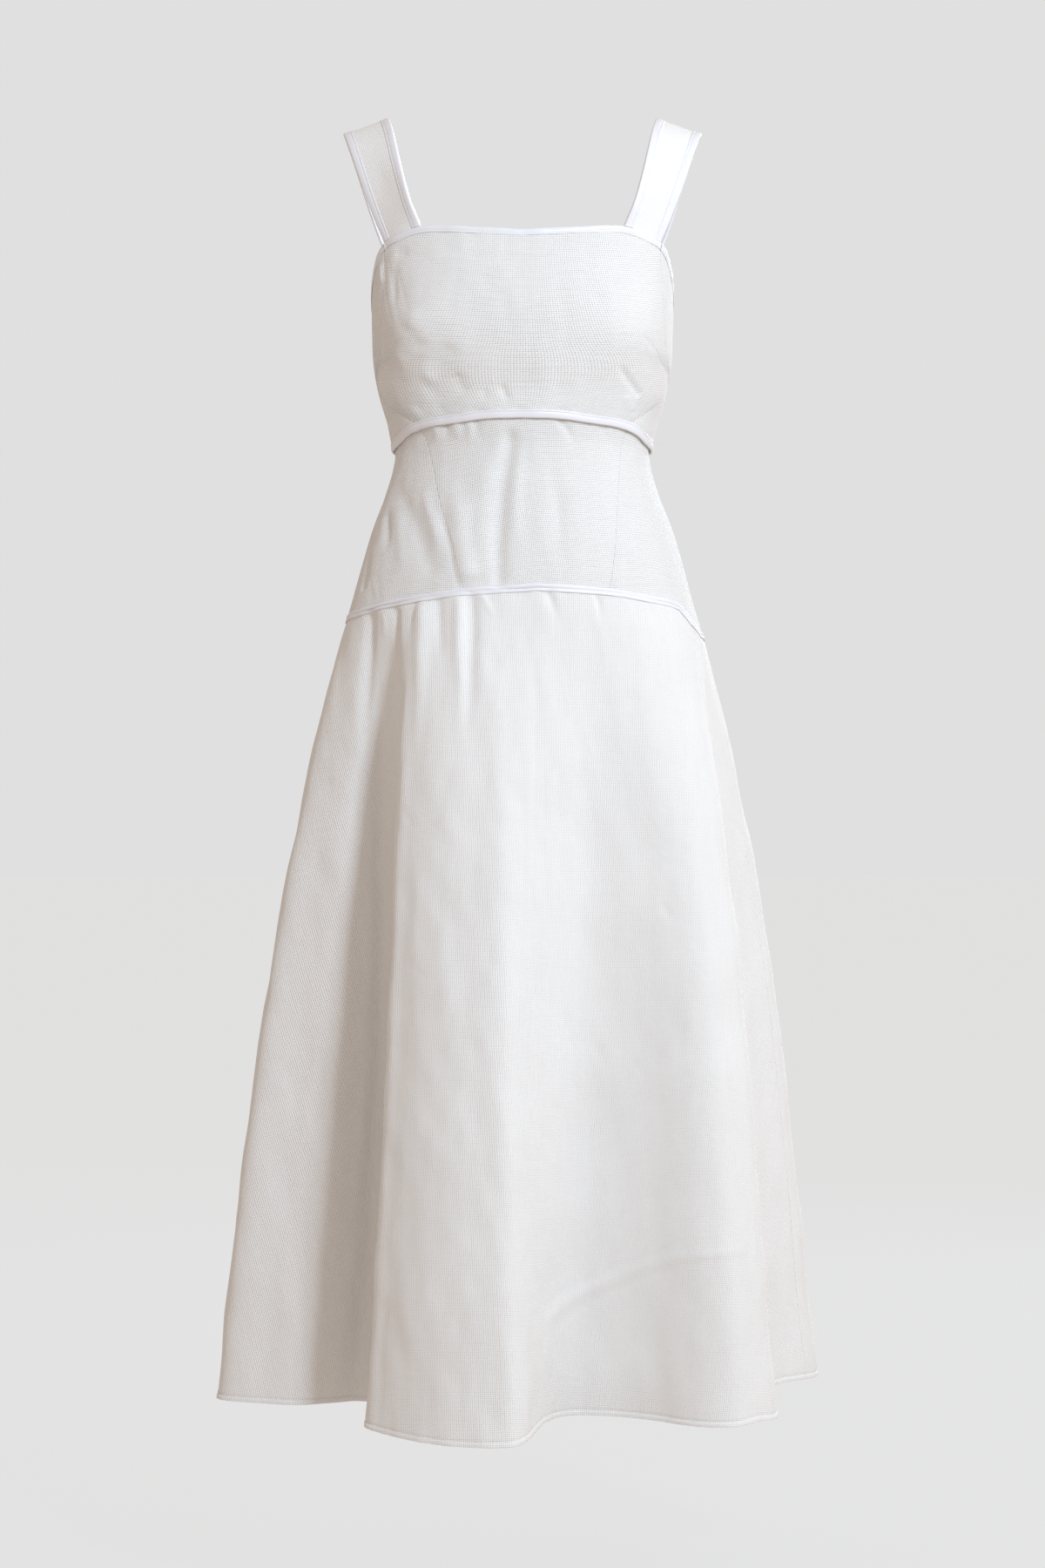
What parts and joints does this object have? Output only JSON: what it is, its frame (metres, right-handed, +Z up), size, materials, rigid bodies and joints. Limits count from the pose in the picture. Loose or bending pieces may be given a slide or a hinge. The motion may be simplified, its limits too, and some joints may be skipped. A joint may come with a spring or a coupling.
{
  "type": "sundress",
  "caption": "Sleeveless midi sundress, hollow and filled out, with a fitted bodice and midriff, a flared folded skirt, wide shoulder straps and satin bindings.",
  "frame": {"origin": "midway between the two shoulder straps, level with the tops of their centre lines, where the shoulders carry the dress", "axes": "+Z up, the front faces -Y, +X towards the wearer's left, which is the viewer's right"},
  "size_m": [0.591, 0.5121, 1.24],
  "materials": {
    "white_cloth": "matt white cotton in a slubbed basket weave",
    "white_satin": "white satin bias binding with a soft sheen",
    "white_tape": "white woven zip tape",
    "white_enamel": "white enamelled metal"
  },
  "bodies": {
    "dress": {"bodice_front": "white_cloth", "bodice_side_left": "white_cloth", "bodice_side_right": "white_cloth", "bodice_back_left": "white_cloth", "bodice_back_right": "white_cloth", "midriff_front": "white_cloth", "midriff_side_left": "white_cloth", "midriff_side_right": "white_cloth", "midriff_back_left": "white_cloth", "midriff_back_right": "white_cloth", "skirt_front": "white_cloth", "skirt_back_left": "white_cloth", "skirt_back_right": "white_cloth", "strap_left": "white_cloth", "strap_right": "white_cloth", "strap_binding_inner_left": "white_satin", "strap_binding_inner_right": "white_satin", "strap_binding_outer_left": "white_satin", "strap_binding_outer_right": "white_satin", "neck_binding_front": "white_satin", "neck_binding_back_left": "white_satin", "neck_binding_back_right": "white_satin", "armhole_binding_left": "white_satin", "armhole_binding_right": "white_satin", "underbust_binding": "white_satin", "yoke_binding": "white_satin", "zip_tape_left": "white_tape", "zip_tape_right": "white_tape", "zip_slider": "white_enamel"},
    "pull": {"zip_pull": "white_enamel"}
  },
  "joints": [
    {"name": "zip_pull_swing", "type": "hinge", "parent": "dress", "child": "pull", "pos_m": [0, 0.1096, -0.12925], "axis": [1, 0, 0], "range_deg": [0, 165]}
  ]
}
